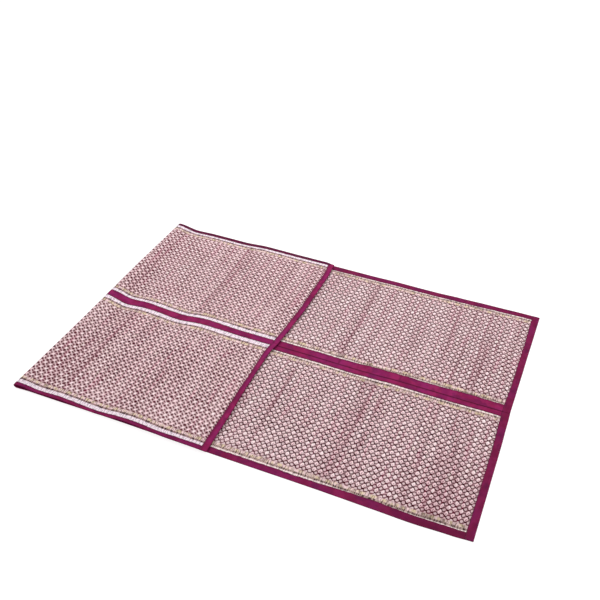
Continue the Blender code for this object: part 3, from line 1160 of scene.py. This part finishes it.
def sewn_edge(profile, shade=0.0):
    """Points of a tape's sewn edge: distance in from it, rise above the face, and painted shade."""
    points = []
    for inset, rise in profile:
        edge_shade = math.exp(-((inset / EDGE_SHADE_WIDTH) ** 2))
        points.append((inset, rise * TAPE_THICKNESS, max(edge_shade, shade)))
    return points


def folded_tape_section(front_width, back_width, front_shade, back_shade):
    """Outline of a tape folded around an edge: reach from the edge, lift, and painted shade."""
    arc = [math.radians(angle) for angle in (75, 45, 15, -15, -45, -75)]
    outline = []
    for inset, rise, shade in sewn_edge(FRONT_EDGE, front_shade):
        outline.append((front_width - inset, HALF_STACK + rise, shade))
    outline.append((front_width * 0.45, HALF_STACK + MIDDLE_RISE * TAPE_THICKNESS, front_shade))
    outline.append((HALF_STACK * 1.7, HALF_STACK, front_shade))
    # Painted shade on the fold's rounded side, darkest where it faces sideways
    for angle in arc:
        reach = HALF_STACK * (1 - math.cos(angle))
        outline.append((reach, HALF_STACK * math.sin(angle), 0.5 * abs(math.cos(angle))))
    outline.append((HALF_STACK * 1.7, -HALF_STACK, back_shade))
    outline.append((back_width * 0.5, -HALF_STACK, back_shade))
    for inset, rise, shade in sewn_edge(PRESSED_EDGE, back_shade)[::-1]:
        outline.append((back_width - inset, -HALF_STACK - rise, shade))
    # Painted shade on the faces that lie against the panel
    outline.append((back_width, -HALF_PANEL, 0.3))
    for angle in arc[::-1]:
        reach = HALF_STACK - HALF_PANEL * math.cos(angle)
        outline.append((reach, HALF_PANEL * math.sin(angle), 0.3))
    outline.append((front_width, HALF_PANEL, 0.6))
    return outline


def turned_tape_section(width):
    """Outline of a tape on the front that is turned down over the strip's inner edge, with painted
    shade.
    """
    radius = TURNED_RADIUS
    outline = []
    for inset, rise, shade in sewn_edge(FRONT_EDGE):
        outline.append((width - inset, HALF_STACK + rise, shade))
    outline.append((width * 0.45, HALF_STACK + MIDDLE_RISE * TAPE_THICKNESS, 0.0))
    outline.append((radius * 3.0, HALF_STACK, 0.0))
    # Painted shade where the tape turns down into the seam, and on its faces against the panel
    outline.append((radius * 1.8, HALF_STACK, 0.35))
    for angle in (80, 55, 30, 5):
        rise = math.sin(math.radians(angle))
        reach = radius * (1 - math.cos(math.radians(angle)))
        outline.append((reach, HALF_STACK - radius * (1 - rise), 1 - 0.3 * rise))
    outline.append((0.0, -HALF_PANEL, 1.0))
    outline.append((TAPE_THICKNESS, -HALF_PANEL, 0.5))
    outline.append((TAPE_THICKNESS, HALF_PANEL, 0.5))
    outline.append((width, HALF_PANEL, 0.6))
    return outline


def flat_tape_section(width):
    """Outline of a single flat tape sewn on the back, from its middle."""
    outline = []
    edge = sewn_edge(JOINING_EDGE)
    for inset, rise, shade in edge:
        outline.append((width / 2 - inset, -HALF_STACK - rise, shade))
    for inset, rise, shade in edge[::-1]:
        outline.append((inset - width / 2, -HALF_STACK - rise, shade))
    # Painted shade on the face that lies against the panel
    outline.append((-width / 2, -HALF_PANEL, 0.5))
    outline.append((width / 2, -HALF_PANEL, 0.5))
    return outline


def section_arrays(outline, stations):
    """Reach, lift and painted shade of an outline at every section, as arrays."""
    shape = stations.shape
    return [np.stack([np.broadcast_to(part, shape) for part in kind], -1) for kind in zip(*outline)]


def crease_depth(tape, x, on_flap):
    """Depth of a tape's cross creases at each place from the fold."""
    depth = np.zeros(x.shape)
    for place, half_width, most in TAPE_CREASES["rows"][tape]:
        depth += np.where(on_flap, 0.0, most * bell(x, place, half_width))
    return depth


def puckers(stations, seed):
    """Small swells of a tape between its stitches, from -1 to 1."""
    return unevenness(stations, 0 * stations, seed, *PUCKER_LENGTHS)


def face_swell(stations, lift, seed, crease=0.0):
    """How far a tape's outer faces stand off: their swells less their creases."""
    on_face = smooth_step(HALF_PANEL, HALF_STACK, np.abs(lift))
    swell = FACE_SWELL * puckers(stations, seed)[:, None] * on_face
    return np.sign(lift) * (swell - np.minimum(crease, DEEPEST_CREASE) * on_face)


def stitch_line(stations, width, margin):
    """Places of a row of stitches along a tape, and how far from its fold they lie."""
    places = np.arange(stations[0] + margin, stations[-1] - margin, STITCH_PITCH)
    return places, np.interp(places, stations, width) - STITCH_INSET


def sewing(name, rows, bend, material):
    """Rows of raised stitches. A row has its stitches' flat places, lift and direction."""
    corners = [math.radians(angle) for angle in (45, 135, 225, 315)]
    lozenges = []
    for along, across, lift, lengthwise in rows:
        points = []
        for share, girth, rise in STITCH_RINGS["rows"]:
            step = share * STITCH_LENGTH / 2
            for corner in corners:
                aside = STITCH_RADIUS * girth * math.cos(corner)
                height = STITCH_RADIUS * (rise + girth * math.sin(corner))
                stitch_along = along + (step if lengthwise else aside)
                stitch_across = across + (aside if lengthwise else step)
                points.append(bend(stitch_along, stitch_across, lift + np.sign(lift) * height))
        lozenges.append(np.stack(points, 1))
    lozenges = np.concatenate(lozenges)

    one = tube_faces(len(STITCH_RINGS["rows"]), len(corners))
    starts = range(0, lozenges.shape[0] * lozenges.shape[1], lozenges.shape[1])
    faces = [[start + point for point in face] for start in starts for face in one]
    piece = link_mesh("stitches_" + name, lozenges.reshape(-1, 3), faces, material)
    turn_outward(piece)
    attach(piece, "root")
    return piece


def sewn_tape(name, bend, places, surface, rows, looks):
    """Bend one tape, sew its rows of stitches and dress it."""
    piece = swept(name, bend(*places), looks["tape"], *surface)
    stitches = sewing(name, rows, bend, looks["thread"])
    dress(piece, name)


def long_tape(name, tape, side, seed, looks):
    """A tape along a strip's outer edge, folded around it, or along its inner edge."""
    stations = long_stations()
    outer = tape.endswith("outer")
    middle = side * HALF_WIDTH if outer else 0.0
    x, _, _, _, on_flap = folded_path(stations, np.full(stations.shape, middle))
    front = table_value(FRONT_TAPES, x, tape) + FRONT_WANDER * puckers(stations, seed)
    stitches, line = stitch_line(stations, front, LONG_STITCH_MARGIN)
    if outer:
        back = table_value(BACK_TAPES, x, tape) + BACK_WANDER * puckers(stations, seed + 1)
        back_line = stitch_line(stations, back, LONG_STITCH_MARGIN)[1]
        rows = [(stitches, line, HALF_STACK, True), (stitches, back_line, -HALF_STACK, True)]
        # Painted shade on the outline tapes that lie away from the light
        outline = folded_tape_section(front, back, *TAPE_PAINTED_SHADE[tape])
    else:
        rows = [(stitches, STRIP_WIDTH - line, HALF_STACK, True)]
        outline = turned_tape_section(front)
    reach, lift, edge = section_arrays(outline, stations)
    depth = crease_depth(tape, x, on_flap)[:, None]
    lift = lift + face_swell(stations, lift, seed + 2, depth)
    # Painted shade in the cross creases, darkest from a set depth on
    shade = np.broadcast_to(np.minimum(depth / DARKEST_CREASE, 1.0), reach.shape)
    # Painted shade where the light falls off towards the right end, kept off the flap
    if tape == FALLOFF_SHADE_TAPE:
        falloff_shade = np.where(on_flap, 0.0, FALLOFF_SHADE_SHARE * smooth_step(FALLOFF_SHADE_FROM, FALLOFF_SHADE_UNTIL, x))
        shade = np.maximum(shade, falloff_shade[:, None])

    along = np.broadcast_to(stations[:, None], reach.shape)
    girth = np.cumsum(np.hypot(*np.gradient(np.stack([reach, lift]), axis=2)), axis=1)
    surface = (np.stack([along, girth], -1), edge, shade)
    places = (along, reach if outer else STRIP_WIDTH - reach, lift)
    sewn_tape(name, partial(strip_points, side), places, surface, rows, looks)


def joining_tape(name, seed, looks):
    """The single tape over the seam on the back."""
    stations = long_stations()
    x, _, _, _, _ = folded_path(stations, 0 * stations)
    width = table_value(BACK_TAPES, x, "seam") + JOINING_WANDER * puckers(stations, seed)
    reach, lift, edge = section_arrays(flat_tape_section(width), stations)
    lift = lift + face_swell(stations, lift, seed + 2)
    along = np.broadcast_to(stations[:, None], reach.shape)
    surface = (np.stack([along, reach + width[:, None]], -1), edge, np.zeros(reach.shape))
    stitches, line = stitch_line(stations, width / 2, LONG_STITCH_MARGIN)
    rows = [(stitches, line, -HALF_STACK, True), (stitches, -line, -HALF_STACK, True)]
    sewn_tape(name, seam_points, (along, reach, lift), surface, rows, looks)


def end_tape(name, end, side, seed, looks):
    """A tape folded around a strip's end, with its own short ends tucked in."""
    tuck = END_TUCK * np.array([0.0, 0.15, 0.4, 0.7])
    middle = np.linspace(END_TUCK, STRIP_WIDTH - END_TUCK, END_SECTIONS)
    stations = np.concatenate([tuck, middle, STRIP_WIDTH - tuck[::-1]])
    at_right_end = end == "right end"
    table = RIGHT_END_TAPES if at_right_end else FLAP_END_TAPES
    width = table_value(table, side * (HALF_WIDTH - stations), "width")
    width = width + END_WANDER * puckers(stations, seed)
    # Painted shade on the end tapes that lie away from the light
    outline = folded_tape_section(width, width, *TAPE_PAINTED_SHADE[end])
    reach, lift, edge = section_arrays(outline, stations)
    over = np.where(lift > 0, OVER_FRONT, OVER_BACK)
    close = np.clip(np.minimum(stations, STRIP_WIDTH - stations) / END_TUCK, 0, 1)
    tucked = np.sqrt(np.clip(1 - (1 - close) ** 2, THINNEST_TUCK, 1.0))[:, None]
    swell = face_swell(stations, lift, seed + 1)
    lift = (lift * np.where(np.abs(lift) > HALF_PANEL, over, 1.0) + swell) * tucked

    across = np.broadcast_to(stations[:, None], reach.shape)
    cloth = np.stack([across, reach + np.sign(lift) * END_FACES_APART], -1)
    surface = (cloth, edge, np.zeros(reach.shape))
    stitches, line = stitch_line(stations, width, END_STITCH_MARGIN)
    if not at_right_end:
        reach, line = CLOTH_LENGTH - reach, CLOTH_LENGTH - line
    lifts = (OVER_FRONT * HALF_STACK, -OVER_BACK * HALF_STACK)
    rows = [(line, stitches, row_lift, False) for row_lift in lifts]
    sewn_tape(name, partial(strip_points, side), (reach, across, lift), surface, rows, looks)


def make_camera():
    """The camera stands where the photograph was taken from."""
    data = bpy.data.cameras.new("camera")
    data.lens = CAMERA_LENS
    data.sensor_width = CAMERA_SENSOR
    data.shift_x = -CAMERA_SHIFT
    data.shift_y = CAMERA_SHIFT
    turn = [math.radians(angle) for angle in CAMERA_ANGLES]
    bpy.context.scene.camera = add_object("camera", data, CAMERA_PLACE, turn)


def make_light(name, place, target, size, power):
    """A square soft light that faces a target."""
    data = bpy.data.lights.new(name, "AREA")
    data.size = size
    data.energy = power
    aim = np.array(target) - np.array(place)
    heading = math.atan2(aim[1], aim[0])
    tilt = math.acos(-aim[2] / np.linalg.norm(aim))
    add_object(name, data, place, (0.0, -tilt, heading))


def make_studio():
    """A pale floor, two soft lights and an even white surround."""
    size = FLOOR_HALF_SIZE
    corners = np.array([(-size, -size, 0.0), (size, -size, 0.0), (size, size, 0.0), (-size, size, 0.0)])
    shading = Shading("studio_paper")
    grain = shading.noise(shading.object_place(), 3.0, dimensions="3D")
    paper = shading.mix(grain, (0.26, 0.26, 0.26, 1.0), (0.28, 0.28, 0.28, 1.0))
    shading.shader.inputs["Emission Color"].default_value = WHITE
    shading.shader.inputs["Emission Strength"].default_value = FLOOR_GLOW
    floor = link_mesh("studio_floor", corners, [(0, 1, 2, 3)], [shading.finish(paper, 0.9)])

    world = bpy.data.worlds.new("studio")
    world.use_nodes = True
    background = world.node_tree.nodes["Background"]
    background.inputs["Color"].default_value = WHITE
    background.inputs["Strength"].default_value = SURROUND_STRENGTH
    bpy.context.scene.world = world
    for light in LIGHTS["rows"]:
        make_light(*light)


def main():
    """Dress the frame."""
    bpy.context.scene.view_settings.view_transform = "Standard"
    make_camera()
    make_studio()
    looks = {
        "woven": [woven_material("woven_front", "front"), woven_material("woven_back", "back")],
        "tape": [tape_material("dyed_tape")],
        "thread": [thread_material("sewing_thread")],
    }
    for strip, side in (("far", 1), ("near", -1)):
        woven_panel("woven_panel_" + strip, side, looks)
        long_tape("outer_tape_" + strip, strip + " outer", side, 50 + side, looks)
        long_tape("inner_tape_" + strip, strip + " inner", side, 60 + side, looks)
        end_tape("right_end_tape_" + strip, "right end", side, 70 + side, looks)
        end_tape("flap_end_tape_" + strip, "flap end", side, 80 + side, looks)
    joining_tape("joining_tape", 90, looks)


main()
